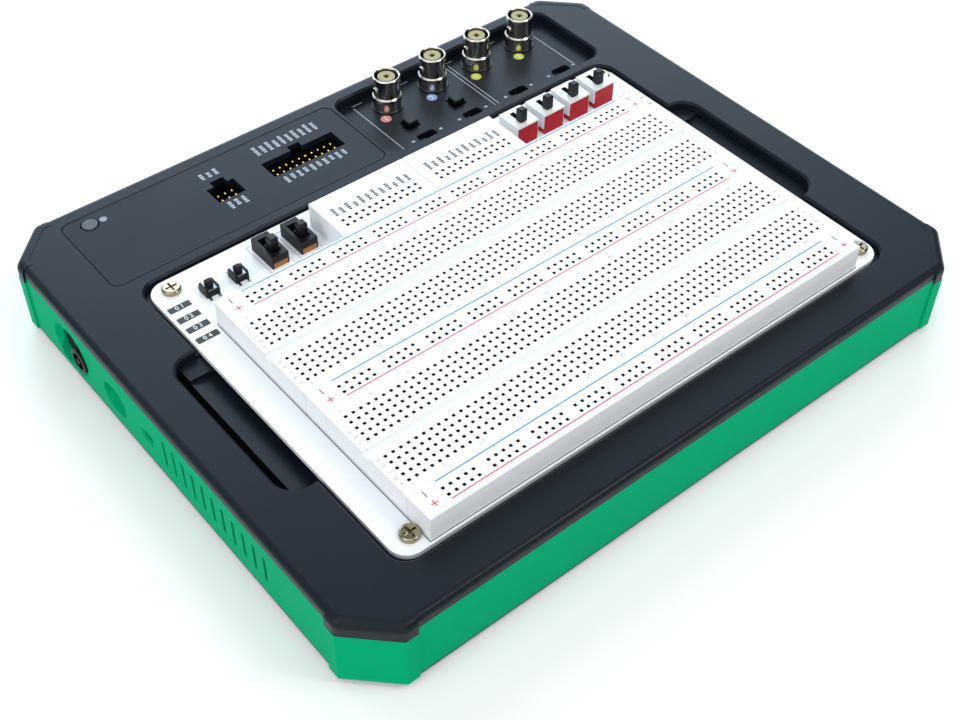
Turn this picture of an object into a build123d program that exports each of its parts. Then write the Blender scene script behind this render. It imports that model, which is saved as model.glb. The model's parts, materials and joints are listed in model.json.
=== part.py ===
from build123d import *
import os

os.makedirs("parts", exist_ok=True)

# The portable electronics lab station stands on its rubber feet, with z = 0 on the table.
# +X runs to the right along the breadboards and +Y to the row of coaxial sockets.

# Driving dimensions in millimetres
pitch = 2.54
case_half_x = 116.4
case_half_y = 95.5
corner_leg = 12.4
corner_proud = 0.6
corner_return = 3.8
corner_lift = 0.12
corner_ring = 3.2
corner_round = 2.8
rim_bevel = 0.7
film_bevel = 0.3
foot_height = 2.0
band_bottom = 2.9
band_top = 23.4
cover_top = 27.3
rim_drop = 1.7
rim_radius = 2.0
band_wall = 2.6
cover_wall = 2.4
fit_gap = 0.15
board_thickness = 1.6
main_board_z = 9.0
canvas_top = 26.5
breadboard_top = 35.0
breadboard_length = 165.1

# Heights that follow from the driving dimensions
main_board_top = main_board_z + board_thickness
canvas_z = canvas_top - board_thickness
plate_bottom = cover_top - cover_wall
floor_top = foot_height + 2.6

# Places of the pockets in the cover, each as x0, x1, y0, y1
canvas_pocket = (-93.8, 95.4, -80.7, 50.2)
canvas_edges = (-92.5, 94.1, -79.4, 48.9)
coaxial_pocket = (5.2, 98.8, 54.4, 89.6)
overlay_pocket = (-98.9, 3.3, 54.4, 89.6)
left_grip = (-103.4, -87.5, -44.0, 17.3)
right_grip = (89.1, 103.2, -45.0, 16.3)
shelf_thickness = 1.6
shelf_bottom = canvas_z - shelf_thickness
coaxial_floor = 23.3
coaxial_floor_thickness = 2.0
grip_floor = 18.0
grip_wall = 1.8
grip_radius = 6.9
overlay_depth = 0.45
overlay_thickness = 0.3
overlay_gap = 0.12

# Places of the sockets, headers and controls
coaxial_x = [23.0, 43.0, 63.0, 83.0]
coaxial_y = 81.4
barrel_r = 4.6
barrel_lip_r = 4.8
barrel_base_r = 5.1
barrel_top = 36.0
collar_r = 5.6
cap_x = [22.7, 43.0]
cap_y = 68.0
cap_size = 4.2
cap_travel = 1.2
selector_x = [23.4, 43.4, 64.2, 84.3]
selector_y = 59.3
selector_slot = (7.5, 3.8, 1.4)
selector_throw = 3.4
power_spot = (-90.5, 85.0)
light_spot = (-85.9, 84.8)
digital_columns = 10
digital_opening = (-32.05, -3.95, 68.6, 77.0)
digital_key = (-20.3, -15.7, 77.0, 79.4)
supply_columns = 3
supply_opening = (-53.1, -43.0, 68.9, 76.7)
supply_key = (-50.3, -45.3, 76.7, 79.4)
header_openings = (digital_opening, digital_key, supply_opening, supply_key)
pin_size = 0.64
pin_top = 25.2

red_x = [44.6 + 11.5 * i for i in range(4)]
red_y = 36.5
red_size = (9.1, 10.0)
red_top = 34.3
slide_x = [-54.0, -43.3]
slide_y = 38.2
slide_size = (6.0, 11.7)
slide_top = 31.1
slide_throw = 3.8
tact_x = [-77.1, -66.9]
tact_y = 36.2
tact_size = 4.6
tact_top = 29.3
strip_y = [-4.78, -50.5]
rail_y = [18.08, -27.64, -73.36]
strip_width = 35.7
rail_width = 9.8
strip_columns = 63
ravine_width = 3.0
hole_size = 1.05
skin_thickness = 1.6
header_y0 = 23.3
header_y1 = 42.6
header_x = [(-36.3, -0.1), (0.1, 36.5)]
header_first = [-32.25, 4.3]
header_rows = [29.6, 27.06]
header_columns = 12

# Places of the fasteners
case_screw_points = [(x, y) for x in (-103, 103) for y in (-82, 82)]
board_points = [(x, y) for x in (-82, 2, 82) for y in (-66, 66)]
canvas_screw_points = [(-85.6, -73.4), (-85.7, 43.9), (89.6, -73.4), (89.4, 43.9)]
socket_points = [(-30.0, 34.0), (62.0, 34.0)]


def rectangle(edges, grow=0.0):
    """Middle and size of a box given by its edges, grown on every side."""
    x0, x1, y0, y1 = edges
    middle = ((x0 + x1) / 2, (y0 + y1) / 2)
    return middle, x1 - x0 + 2 * grow, y1 - y0 + 2 * grow


def rounded(edges, radius, grow=0.0):
    """Rounded rectangle between the given edges."""
    middle, width, depth = rectangle(edges, grow)
    with BuildSketch(mode=Mode.PRIVATE) as outline:
        with Locations(middle):
            RectangleRounded(width, depth, radius)
    return outline.sketch


def case_outline(grow=0.0, round_r=0.0):
    """Case outline with its four corners cut at 45 degrees, grown by an offset."""
    leg = corner_leg + grow * (2 - 2 ** 0.5)
    with BuildSketch(mode=Mode.PRIVATE) as outline:
        Rectangle(2 * (case_half_x + grow), 2 * (case_half_y + grow))
        chamfer(outline.vertices(), leg)
        if round_r:
            fillet(outline.vertices(), round_r)
    return outline.sketch


def corner_zones():
    """Squares over the four corners, where the case stands proud."""
    reach = corner_leg + corner_return
    far = 4.0
    side = reach + far
    with BuildSketch(mode=Mode.PRIVATE) as outline:
        with GridLocations(2 * case_half_x + far - reach, 2 * case_half_y + far - reach, 2, 2):
            Rectangle(side, side)
    return outline.sketch


def save(part, name):
    """Label one finished piece and write it."""
    part.label = name
    export_step(part, f"parts/{name}.step")


# Bottom cover: a tray with a thin edge under the band and posts for the main board
with BuildPart() as bottom_cover:
    edge_inset = 0.1
    corner_edge = 0.4
    with BuildSketch(Plane.XY.offset(foot_height)):
        add(case_outline(-edge_inset))
    extrude(amount=corner_edge)
    with BuildSketch(Plane.XY.offset(foot_height)):
        add(case_outline(-edge_inset))
        add(corner_zones(), mode=Mode.SUBTRACT)
    extrude(amount=band_bottom - foot_height)
    with BuildSketch(Plane.XY.offset(foot_height)):
        add(case_outline(-band_wall - fit_gap))
    extrude(amount=floor_top - foot_height)
    with BuildSketch(Plane.XY.offset(floor_top)):
        with Locations(board_points):
            Circle(3.5)
    extrude(amount=main_board_z - floor_top)
    with BuildSketch(Plane.XY.offset(foot_height)):
        with Locations(case_screw_points):
            Circle(3.6)
    extrude(amount=1.4, mode=Mode.SUBTRACT)
    with BuildSketch(Plane.XY.offset(foot_height)):
        with Locations(case_screw_points):
            Circle(1.7)
    extrude(amount=floor_top - foot_height, mode=Mode.SUBTRACT)
save(bottom_cover.part, "bottom_cover")

# Side band: the bright ring of soft plastic, with the vents and ports on its left side
vent_count = 11
vent_pitch = 5.07
vent_width = 1.3
vent_length = 10.5
vent_centre = (-25.45, 13.75)
recess_depth = 1.7
usb_depth = 3.6
usb_boss = 0.8
jack_recess = (55.0, 11.8, 19.6, 16.4, 8.1)
jack_slot = (57.0, 9.7, 12.6, 11.6, 4.6)
jack_spot = (49.3, 11.8)
jack_r = 4.3
usb_recess = (28.4, 12.1, 12.4, 10.2, 4.9)
usb_slot = (28.4, 12.5, 9.3, 3.6, 1.7)
sync_recess = (9.8, 12.0, 6.4, 4.8, 1.2)
sync_depth = 0.6
sync_slot = (5.0, 3.4)

with BuildPart() as side_band:
    with BuildSketch(Plane.XY.offset(band_bottom)):
        add(case_outline())
        add(case_outline(-band_wall), mode=Mode.SUBTRACT)
        add(corner_zones(), mode=Mode.SUBTRACT)
    extrude(amount=band_top - band_bottom)
    with BuildSketch(Plane.XY.offset(foot_height + corner_edge)):
        add(case_outline(corner_proud))
        add(case_outline(-band_wall), mode=Mode.SUBTRACT)
        add(corner_zones(), mode=Mode.INTERSECT)
    extrude(amount=band_top - rim_drop - foot_height - corner_edge)
    left_face = Plane.YZ.offset(-case_half_x)
    y, z, width, height, radius = usb_recess
    with BuildSketch(Plane.YZ.offset(-case_half_x + band_wall - 0.2)):
        with Locations((y, z)):
            RectangleRounded(width + 2 * usb_boss, height + 2 * usb_boss, radius)
    extrude(amount=usb_depth - band_wall + 1.6)
    for recess, depth, slope in ((jack_recess, recess_depth, 32), (usb_recess, usb_depth, 20),
                                 (sync_recess, sync_depth, 32)):
        y, z, width, height, radius = recess
        with BuildSketch(left_face):
            with Locations((y, z)):
                RectangleRounded(width, height, radius)
        extrude(amount=depth, taper=slope, mode=Mode.SUBTRACT)
    with BuildSketch(left_face):
        for y, z, width, height, radius in (jack_slot, usb_slot):
            with Locations((y, z)):
                RectangleRounded(width, height, radius)
        with Locations((vent_centre[0], vent_centre[1])):
            with GridLocations(vent_pitch, 1, vent_count, 1):
                RectangleRounded(vent_width, vent_length, vent_width / 2 - 0.02)
        with Locations(jack_spot):
            Circle(jack_r + fit_gap)
        with Locations((sync_recess[0], sync_recess[1])):
            Rectangle(*sync_slot)
    extrude(amount=usb_depth + 2.0, mode=Mode.SUBTRACT)
    right_face = Plane.YZ.offset(case_half_x)
    with BuildSketch(right_face):
        with Locations((vent_centre[0], vent_centre[1])):
            with GridLocations(vent_pitch, 1, vent_count, 1):
                RectangleRounded(vent_width, vent_length, vent_width / 2 - 0.02)
    extrude(amount=-band_wall, mode=Mode.SUBTRACT)
save(side_band.part, "side_band")

# Top cover: rim, pockets, grip recesses, shelf for the lift-out board and screw posts
with BuildPart() as proud_corners:
    with BuildSketch(Plane.XY.offset(band_top - rim_drop)):
        add(case_outline(corner_proud, corner_round + corner_proud))
    extrude(amount=cover_top + corner_lift - band_top + rim_drop)
    fillet(proud_corners.edges().group_by(Axis.Z)[-1], rim_radius + corner_proud)
    with BuildSketch(Plane.XY):
        add(corner_zones())
        add(case_outline(-corner_ring), mode=Mode.SUBTRACT)
    extrude(amount=cover_top + corner_lift, mode=Mode.INTERSECT)

with BuildPart() as top_cover:
    with BuildSketch(Plane.XY.offset(band_top)):
        add(case_outline(0.0, corner_round))
    extrude(amount=cover_top - band_top)
    fillet(top_cover.edges().group_by(Axis.Z)[-1], rim_radius)
    add(proud_corners.part)
    with BuildSketch(Plane.XY.offset(band_top - rim_drop)):
        add(case_outline(-band_wall))
    extrude(amount=plate_bottom - band_top + rim_drop, mode=Mode.SUBTRACT)
    lip_drop = 3.4
    with BuildSketch(Plane.XY.offset(band_top - lip_drop)):
        add(case_outline(-band_wall - fit_gap))
        add(case_outline(-band_wall - 1.5), mode=Mode.SUBTRACT)
    extrude(amount=plate_bottom - band_top + lip_drop)
    with BuildSketch(Plane.XY.offset(shelf_bottom)):
        add(rounded(canvas_pocket, 8.0, 2.0))
    extrude(amount=plate_bottom - shelf_bottom)
    with BuildSketch(Plane.XY.offset(coaxial_floor - coaxial_floor_thickness)):
        add(rounded(coaxial_pocket, 6.0, 1.8))
    extrude(amount=plate_bottom - coaxial_floor + coaxial_floor_thickness)
    for grip in (left_grip, right_grip):
        with BuildSketch(Plane.XY.offset(grip_floor - grip_wall)):
            add(rounded(grip, grip_radius, grip_wall))
        extrude(amount=plate_bottom - grip_floor + grip_wall)
    with BuildSketch(Plane.XY.offset(floor_top)):
        with Locations(case_screw_points):
            Circle(4.0)
    extrude(amount=plate_bottom - floor_top)
    with BuildSketch(Plane.XY.offset(canvas_z)):
        add(rounded(canvas_pocket, 6.0))
    extrude(amount=cover_top - canvas_z, mode=Mode.SUBTRACT)
    with BuildSketch(Plane.XY.offset(coaxial_floor)):
        add(rounded(coaxial_pocket, 4.5))
    extrude(amount=cover_top - coaxial_floor, mode=Mode.SUBTRACT)
    with BuildSketch(Plane.XY.offset(cover_top - overlay_depth)):
        add(rounded(overlay_pocket, 3.0))
    extrude(amount=overlay_depth, mode=Mode.SUBTRACT)
    for grip in (left_grip, right_grip):
        with BuildSketch(Plane.XY.offset(grip_floor)):
            add(rounded(grip, grip_radius))
        extrude(amount=cover_top - grip_floor, mode=Mode.SUBTRACT)
    # Bevels along the rims of the pockets
    for edges, radius, bevel in ((canvas_pocket, 6.0, rim_bevel), (coaxial_pocket, 4.5, rim_bevel),
                                 (overlay_pocket, 3.0, film_bevel), (left_grip, grip_radius, rim_bevel),
                                 (right_grip, grip_radius, rim_bevel)):
        with BuildSketch(Plane.XY.offset(cover_top)):
            add(rounded(edges, radius + bevel, bevel))
        extrude(amount=-bevel, taper=45, mode=Mode.SUBTRACT)
    # Holes through the floors for the sockets, caps, selectors, headers and button
    with BuildSketch(Plane.XY.offset(coaxial_floor - coaxial_floor_thickness)):
        with Locations([(x, coaxial_y) for x in coaxial_x]):
            Circle(collar_r + fit_gap)
        with Locations([(x, cap_y) for x in cap_x]):
            Rectangle(cap_size + 1.2, cap_size + 1.2)
        with Locations([(x, selector_y) for x in selector_x]):
            RectangleRounded(*selector_slot)
    extrude(amount=coaxial_floor_thickness, mode=Mode.SUBTRACT)
    with BuildSketch(Plane.XY.offset(plate_bottom)):
        for edges in header_openings:
            middle, width, depth = rectangle(edges)
            with Locations(middle):
                Rectangle(width, depth)
        with Locations(power_spot):
            Circle(3.0)
        with Locations(light_spot):
            Circle(1.3)
    extrude(amount=cover_wall, mode=Mode.SUBTRACT)
    # Slots and holes in the shelf under the lift-out board
    with BuildSketch(Plane.XY.offset(shelf_bottom)):
        with Locations(socket_points):
            Rectangle(58.0, 9.0)
        with Locations(canvas_screw_points):
            Circle(4.5)
    extrude(amount=shelf_thickness, mode=Mode.SUBTRACT)
    with BuildSketch(Plane.XY.offset(floor_top)):
        with Locations(case_screw_points):
            Circle(1.3)
    extrude(amount=12.0, mode=Mode.SUBTRACT)
save(top_cover.part, "top_cover")

# Raised floors of the grips: they slope down under the lift-out board, with a step at the back
slab_high = 23.2
slab_low = 20.8
left_groove = 3.2
right_groove = 0.3
step_length = 7.0
step_height = 0.9
slab_spans = ((left_grip, left_grip[0] + left_groove, left_grip[1]),
              (right_grip, right_grip[1] - right_groove, right_grip[0]))
with BuildPart() as grip_slabs:
    for (x0, x1, y0, y1), outer, inner in slab_spans:
        with BuildSketch(Plane.XZ.offset(-y1)):
            with BuildLine():
                Polyline((outer, grip_floor), (inner, grip_floor), (inner, slab_low),
                         (outer, slab_high), close=True)
            make_face()
        extrude(amount=y1 - y0)
        with BuildSketch(Plane.XY.offset(grip_floor)):
            with Locations(((outer + inner) / 2, y1 - step_length / 2)):
                Rectangle(abs(inner - outer), step_length)
        extrude(amount=slab_high + step_height - grip_floor)
    with BuildSketch(Plane.XY.offset(grip_floor)):
        add(rounded(left_grip, grip_radius, -fit_gap))
        add(rounded(right_grip, grip_radius, -fit_gap))
    extrude(amount=cover_top - grip_floor, mode=Mode.INTERSECT)
save(grip_slabs.part, "grip_slabs")

# Printed overlay in the shallow recess behind the breadboards
with BuildPart() as panel_overlay:
    with BuildSketch(Plane.XY.offset(cover_top - overlay_depth)):
        add(rounded(overlay_pocket, 3.0 - overlay_gap, -overlay_gap))
        for edges in header_openings:
            middle, width, depth = rectangle(edges)
            with Locations(middle):
                Rectangle(width, depth, mode=Mode.SUBTRACT)
        with Locations(power_spot):
            Circle(3.0, mode=Mode.SUBTRACT)
        with Locations(light_spot):
            Circle(1.3, mode=Mode.SUBTRACT)
    extrude(amount=overlay_thickness)
save(panel_overlay.part, "panel_overlay")

# Rubber feet under the tray
foot_r = 7.0
foot_points = [(x, y) for x in (-92, 92) for y in (-70, 70)]
with BuildPart() as rubber_feet:
    with BuildSketch(Plane.XY):
        with Locations(foot_points):
            Circle(foot_r)
    extrude(amount=foot_height)
save(rubber_feet.part, "rubber_feet")


def cross_screws(points, seat, shank_r, length, head_r, head_height, way=1):
    """Cross-recessed screws: way 1 has the head above the seat, way -1 below it."""
    with BuildPart() as screws:
        for point in points:
            with BuildSketch(Plane.XY.offset(seat)):
                with Locations(point):
                    Circle(head_r)
            extrude(amount=way * head_height)
        tips = screws.edges().filter_by(GeomType.CIRCLE)
        fillet(tips.filter_by(lambda e: abs(e.center().Z - seat) > 0.5 * head_height), 0.6)
        for point in points:
            with BuildSketch(Plane.XY.offset(seat)):
                with Locations(point):
                    Circle(shank_r)
            extrude(amount=-way * length)
        for point in points:
            with BuildSketch(Plane.XY.offset(seat + way * head_height)):
                with Locations(point):
                    Rectangle(1.3 * head_r, 0.26 * head_r)
                    Rectangle(0.26 * head_r, 1.3 * head_r)
            extrude(amount=-way * 0.7 * head_height, mode=Mode.SUBTRACT)
    return screws.part


save(cross_screws(case_screw_points, foot_height + 1.4, 1.3, 11.0, 2.9, 1.3, -1), "case_screws")
save(cross_screws(board_points, main_board_top, 1.3, board_thickness, 2.8, 1.6), "board_screws")
save(cross_screws(canvas_screw_points, canvas_top, 1.5, 3.6, 3.0, 1.5), "canvas_screws")

# Main circuit board on the posts of the tray
board_half_x = 108.0
board_depth = 180.0
board_corner = 20.0
with BuildPart() as main_board:
    with BuildSketch(Plane.XY.offset(main_board_z)) as board_sketch:
        Rectangle(2 * board_half_x, board_depth)
        chamfer(board_sketch.vertices(), board_corner)
        with Locations(board_points):
            Circle(1.5, mode=Mode.SUBTRACT)
    extrude(amount=board_thickness)
save(main_board.part, "main_board")

# Chips, heat sink and capacitors that the board needs
chips = ((-20, 0, 17, 1.4), (25, 10, 12, 1.2), (25, -20, 10, 1.2), (60, 0, 14, 1.6),
         (-10, -40, 9, 1.2), (50, -45, 8, 1.2), (20, 48, 8, 1.2))
with BuildPart() as board_chips:
    for x, y, side, height in chips:
        with BuildSketch(Plane.XY.offset(main_board_top)):
            with Locations((x, y)):
                Rectangle(side, side)
        extrude(amount=height)
save(board_chips.part, "board_chips")

with BuildPart() as heat_sink:
    with BuildSketch(Plane.XY.offset(main_board_top)):
        with Locations((-60, -30)):
            Rectangle(34, 34)
    extrude(amount=2.5)
    with BuildSketch(Plane.XY.offset(main_board_top + 2.5)):
        with Locations((-60, -30)):
            with GridLocations(4.0, 1, 9, 1):
                Rectangle(1.2, 34)
    extrude(amount=7.5)
save(heat_sink.part, "heat_sink")

with BuildPart() as capacitors:
    with BuildSketch(Plane.XY.offset(main_board_top)):
        with Locations([(-78, y) for y in (6, 18, 30)] + [(0, -58), (12, -58), (24, -58)]):
            Circle(4.0)
    extrude(amount=9.5)
save(capacitors.part, "capacitors")

# Board-to-board sockets below the shelf and the plugs of the lift-out board
socket_length = 56.0
blade_length = 51.0
blade_width = 3.0
blade_depth = 6.4
with BuildPart() as canvas_sockets:
    with BuildSketch(Plane.XY.offset(main_board_top)):
        with Locations(socket_points):
            Rectangle(socket_length, 7.0)
    extrude(amount=canvas_z - 0.8 - main_board_top)
    with BuildSketch(Plane.XY.offset(canvas_z - 0.8)):
        with Locations(socket_points):
            Rectangle(blade_length + 1.0, blade_width + 1.0)
    extrude(amount=-(blade_depth + 0.4), mode=Mode.SUBTRACT)
save(canvas_sockets.part, "canvas_sockets")

with BuildPart() as canvas_plugs:
    with BuildSketch(Plane.XY.offset(canvas_z)):
        with Locations(socket_points):
            Rectangle(blade_length, blade_width)
    extrude(amount=-blade_depth)
save(canvas_plugs.part, "canvas_plugs")

# Coaxial sockets: dark base block, nickel barrel with two lugs, insulator and contact
collar_top = coaxial_floor + 0.3
base_step = coaxial_floor + 4.9
with BuildPart() as coaxial_bases:
    with BuildSketch(Plane.XY.offset(main_board_top)):
        with Locations([(x, coaxial_y) for x in coaxial_x]):
            Rectangle(14.4, 14.4)
    extrude(amount=coaxial_floor - coaxial_floor_thickness - main_board_top)
    with BuildSketch(Plane.XY.offset(coaxial_floor - coaxial_floor_thickness)):
        with Locations([(x, coaxial_y) for x in coaxial_x]):
            Circle(collar_r)
    extrude(amount=collar_top - coaxial_floor + coaxial_floor_thickness)
save(coaxial_bases.part, "coaxial_bases")

bore_r = 4.05
lug_r = 1.0
lug_z = 31.6
lip_height = 0.9
for number, x in enumerate(coaxial_x, start=1):
    with BuildPart() as coaxial_barrel:
        with BuildSketch(Plane.XZ.offset(-coaxial_y)):
            with BuildLine():
                Polyline((x, collar_top), (x + barrel_base_r, collar_top),
                         (x + barrel_base_r, base_step), (x + barrel_r, base_step + 0.4),
                         (x + barrel_r, barrel_top - lip_height),
                         (x + barrel_lip_r, barrel_top - lip_height + 0.2),
                         (x + barrel_lip_r, barrel_top - 0.3), (x + barrel_lip_r - 0.3, barrel_top),
                         (x + bore_r + 0.3, barrel_top), (x + bore_r, barrel_top - 0.3),
                         (x + bore_r, collar_top + 1.2), (x, collar_top + 1.2), close=True)
            make_face()
        revolve(axis=Axis((x, coaxial_y, 0), (0, 0, 1)))
        for way in (-1, 1):
            with BuildSketch(Plane.YZ.offset(x + way * (barrel_r - 0.3))):
                with Locations((coaxial_y, lug_z)):
                    Circle(lug_r)
            extrude(amount=way * 1.0)
    save(coaxial_barrel.part, f"coaxial_barrel_{number}")

insulator_r = 3.0
contact_r = 1.1
with BuildPart() as coaxial_insulators:
    with BuildSketch(Plane.XY.offset(collar_top + 1.2)):
        with Locations([(x, coaxial_y) for x in coaxial_x]):
            Circle(bore_r)
            Circle(contact_r, mode=Mode.SUBTRACT)
    extrude(amount=1.8)
    with BuildSketch(Plane.XY.offset(collar_top + 3.0)):
        with Locations([(x, coaxial_y) for x in coaxial_x]):
            Circle(insulator_r)
            Circle(contact_r, mode=Mode.SUBTRACT)
    extrude(amount=barrel_top - 0.5 - collar_top - 3.0)
save(coaxial_insulators.part, "coaxial_insulators")

# Shrouds of the two pin headers, seen through the openings of the panel
shroud_floor = 20.4
shroud_wall = 1.2
with BuildPart() as header_shrouds:
    with BuildSketch(Plane.XY.offset(main_board_top)):
        for edges in header_openings:
            middle, width, depth = rectangle(edges, shroud_wall)
            with Locations(middle):
                Rectangle(width, depth)
    extrude(amount=plate_bottom - fit_gap - main_board_top)
    with BuildSketch(Plane.XY.offset(shroud_floor)):
        for edges in header_openings:
            middle, width, depth = rectangle(edges)
            with Locations(middle):
                Rectangle(width, depth)
    extrude(amount=plate_bottom - shroud_floor, mode=Mode.SUBTRACT)
save(header_shrouds.part, "header_shrouds")

# Gold contacts: the pins of the headers and the middle contacts of the coaxial sockets
digital_middle = rectangle(digital_opening)[0]
supply_middle = rectangle(supply_opening)[0]
contact_top = barrel_top - 0.9
contact_bore_r = 0.65
with BuildPart() as signal_contacts:
    with BuildSketch(Plane.XY.offset(shroud_floor)):
        with Locations(digital_middle):
            with GridLocations(pitch, pitch, digital_columns, 2):
                Rectangle(pin_size, pin_size)
        with Locations(supply_middle):
            with GridLocations(pitch, pitch, supply_columns, 2):
                Rectangle(pin_size, pin_size)
    extrude(amount=pin_top - shroud_floor)
    chamfer(signal_contacts.edges().group_by(Axis.Z)[-1], 0.15)
    with BuildSketch(Plane.XY.offset(collar_top + 1.2)):
        with Locations([(x, coaxial_y) for x in coaxial_x]):
            Circle(contact_r)
    extrude(amount=contact_top - collar_top - 1.2)
    with BuildSketch(Plane.XY.offset(contact_top)):
        with Locations([(x, coaxial_y) for x in coaxial_x]):
            Circle(contact_bore_r)
    extrude(amount=-5.0, mode=Mode.SUBTRACT)
save(signal_contacts.part, "signal_contacts")

# Switch bodies on the main board, the push caps, the power button and its light
cap_bottom = 19.6
button_bottom = 22.0
button_travel = 0.8
with BuildPart() as push_switch_bodies:
    for points, top in (([(x, cap_y) for x in cap_x], cap_bottom - cap_travel - 0.2),
                        ([power_spot], button_bottom - button_travel - 0.2)):
        with BuildSketch(Plane.XY.offset(main_board_top)):
            with Locations(points):
                Rectangle(6.2, 6.2)
        extrude(amount=top - main_board_top)
save(push_switch_bodies.part, "push_switch_bodies")

cap_top = coaxial_floor + 2.0
for number, x in enumerate(cap_x, start=1):
    with BuildPart() as push_cap:
        with BuildSketch(Plane.XY.offset(cap_bottom)):
            with Locations((x, cap_y)):
                Rectangle(cap_size, cap_size)
        extrude(amount=cap_top - cap_bottom)
        fillet(push_cap.edges().group_by(Axis.Z)[-1], 0.5)
    save(push_cap.part, f"push_cap_{number}")

overlay_top = cover_top - overlay_depth + overlay_thickness
with BuildPart() as power_button:
    with BuildSketch(Plane.XY.offset(button_bottom)):
        with Locations(power_spot):
            Circle(2.6)
    extrude(amount=overlay_top + 0.35 - button_bottom)
    fillet(power_button.edges().group_by(Axis.Z)[-1], 0.3)
save(power_button.part, "power_button")

with BuildPart() as status_light:
    with BuildSketch(Plane.XY.offset(main_board_top)):
        with Locations(light_spot):
            Circle(1.2)
    extrude(amount=overlay_top + 0.1 - main_board_top)
save(status_light.part, "status_light")

# Selector slide switches under the floor of the coaxial pocket
selector_body_top = coaxial_floor - coaxial_floor_thickness - fit_gap
selector_rest = -selector_throw / 2
with BuildPart() as selector_bodies:
    with BuildSketch(Plane.XY.offset(main_board_top)):
        with Locations([(x, selector_y) for x in selector_x]):
            Rectangle(10.0, 6.2)
    extrude(amount=selector_body_top - main_board_top)
    with BuildSketch(Plane.XY.offset(selector_body_top)):
        with Locations([(x, selector_y) for x in selector_x]):
            Rectangle(7.6, 3.2)
    extrude(amount=-3.4, mode=Mode.SUBTRACT)
save(selector_bodies.part, "selector_bodies")

for number, x in enumerate(selector_x, start=1):
    with BuildPart() as selector_lever:
        with BuildSketch(Plane.XY.offset(selector_body_top - 3.0)):
            with Locations((x + selector_rest, selector_y)):
                Rectangle(3.2, 2.6)
        extrude(amount=coaxial_floor - 1.4 - selector_body_top + 3.0)
        fillet(selector_lever.edges().group_by(Axis.Z)[-1], 0.4)
    save(selector_lever.part, f"selector_lever_{number}")

# Sockets on the left side: power jack behind a dust shield, cable socket and small sync socket
jack_reach = 0.8
jack_front_x = -case_half_x + band_wall + 1.4
jack_step_x = -board_half_x - 0.3
jack_width = 11.0
jack_bore = 2.9
jack_pin = 1.0
shield_edges = (45.6, 64.6, 4.9, 19.6)
with BuildPart() as power_jack:
    with BuildSketch(Plane.YZ.offset(jack_front_x)):
        with Locations((jack_spot[0], (main_board_z - 2.5 + jack_spot[1] + 5.2) / 2)):
            Rectangle(jack_width, jack_spot[1] + 5.2 - main_board_z + 2.5)
    extrude(amount=jack_step_x - jack_front_x)
    with BuildSketch(Plane.YZ.offset(jack_step_x)):
        with Locations((jack_spot[0], (main_board_top + jack_spot[1] + 5.2) / 2)):
            Rectangle(jack_width, jack_spot[1] + 5.2 - main_board_top)
    extrude(amount=10.0)
    with BuildSketch(Plane.YZ.offset(jack_front_x)):
        add(rounded(shield_edges, 1.5))
    extrude(amount=-1.3)
    with BuildSketch(Plane.YZ.offset(jack_front_x)):
        with Locations(jack_spot):
            Circle(jack_r)
    extrude(amount=-(case_half_x + jack_reach + jack_front_x))
    fillet(power_jack.faces().sort_by(Axis.X)[0].edges(), 0.5)
    with BuildSketch(Plane.YZ.offset(-case_half_x - jack_reach)):
        with Locations(jack_spot):
            Circle(jack_bore)
            Circle(jack_pin, mode=Mode.SUBTRACT)
    extrude(amount=8.0, mode=Mode.SUBTRACT)
save(power_jack.part, "power_jack")

usb_x = -case_half_x + usb_depth
sync_x = -case_half_x + sync_depth + 0.4
shell = (9.0, 3.3, 1.6)
with BuildPart() as cable_sockets:
    with BuildSketch(Plane.YZ.offset(usb_x)):
        with Locations((usb_slot[0], usb_slot[1])):
            RectangleRounded(*shell)
            RectangleRounded(shell[0] - 0.6, shell[1] - 0.6, shell[2] - 0.3, mode=Mode.SUBTRACT)
    extrude(amount=7.5)
    with BuildSketch(Plane.YZ.offset(usb_x + 1.4)):
        with Locations((usb_slot[0], usb_slot[1])):
            Rectangle(6.6, 0.7)
    extrude(amount=6.1)
    with BuildSketch(Plane.YZ.offset(usb_x + 6.5)):
        with Locations((usb_slot[0], usb_slot[1])):
            RectangleRounded(*shell)
    extrude(amount=1.0)
    with BuildSketch(Plane.YZ.offset(sync_x)):
        with Locations((sync_recess[0], sync_recess[1])):
            Rectangle(3.8, 2.2)
            Rectangle(2.8, 1.4, mode=Mode.SUBTRACT)
    extrude(amount=7.0)
    with BuildSketch(Plane.YZ.offset(sync_x + 0.5)):
        with Locations((sync_recess[0], sync_recess[1])):
            Rectangle(2.8, 0.5)
    extrude(amount=6.5)
save(cable_sockets.part, "cable_sockets")

# Lift-out board with the breadboards, blocks, switches and buttons on it
with BuildPart() as canvas_board:
    with BuildSketch(Plane.XY.offset(canvas_z)):
        add(rounded(canvas_edges, 6.0))
        with Locations(canvas_screw_points):
            Circle(1.6, mode=Mode.SUBTRACT)
    extrude(amount=board_thickness)
save(canvas_board.part, "canvas_board")

with BuildPart() as canvas_studs:
    with BuildSketch(Plane.XY.offset(canvas_z)):
        with Locations(canvas_screw_points):
            Circle(4.0)
            Circle(1.6, mode=Mode.SUBTRACT)
    extrude(amount=-2.4)
save(canvas_studs.part, "canvas_studs")

backing_thickness = 0.8
clip_frame_z = canvas_top + backing_thickness
skin_z = breadboard_top - skin_thickness
with BuildPart() as foam_backing:
    with BuildSketch(Plane.XY.offset(canvas_top)):
        with Locations([(0, y) for y in strip_y]):
            Rectangle(breadboard_length - 0.6, strip_width - 0.6)
        with Locations([(0, y) for y in rail_y]):
            Rectangle(breadboard_length - 0.6, rail_width - 0.6)
    extrude(amount=backing_thickness)
save(foam_backing.part, "foam_backing")


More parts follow.
